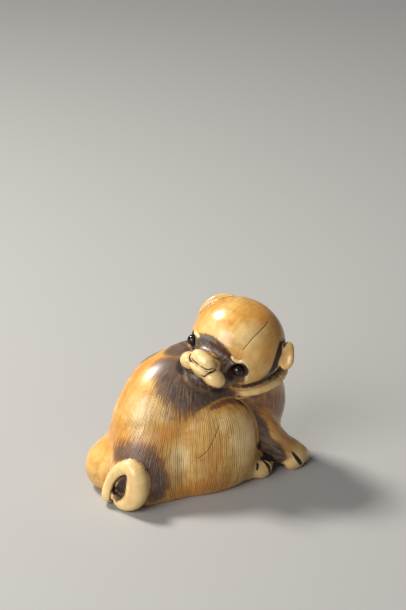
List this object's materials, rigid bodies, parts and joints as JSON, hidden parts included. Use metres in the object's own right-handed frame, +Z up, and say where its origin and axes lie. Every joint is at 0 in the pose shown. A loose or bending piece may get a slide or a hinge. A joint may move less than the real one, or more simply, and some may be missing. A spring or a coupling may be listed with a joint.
{
  "type": "netsuke",
  "caption": "Carved toggle in the form of a lying puppy that looks back over its shoulder, with inlaid eyes, a looped tail and two cord holes in its base.",
  "frame": {"origin": "on the flat patch that the carving rests on, under the middle of its bounding box", "axes": "+X towards the chest and forepaws, +Z up, +Y towards the side that the head turns away from"},
  "size_m": [0.0406, 0.0222, 0.0326],
  "materials": {
    "ivory": "polished and worn ivory or stag antler, golden to cream where it is raised, with dark brown stain in the hollows and fine engraved hair lines",
    "horn": "polished black horn"
  },
  "bodies": {
    "root": {"dog": "ivory", "eye_left": "horn", "eye_right": "horn"}
  },
  "joints": []
}
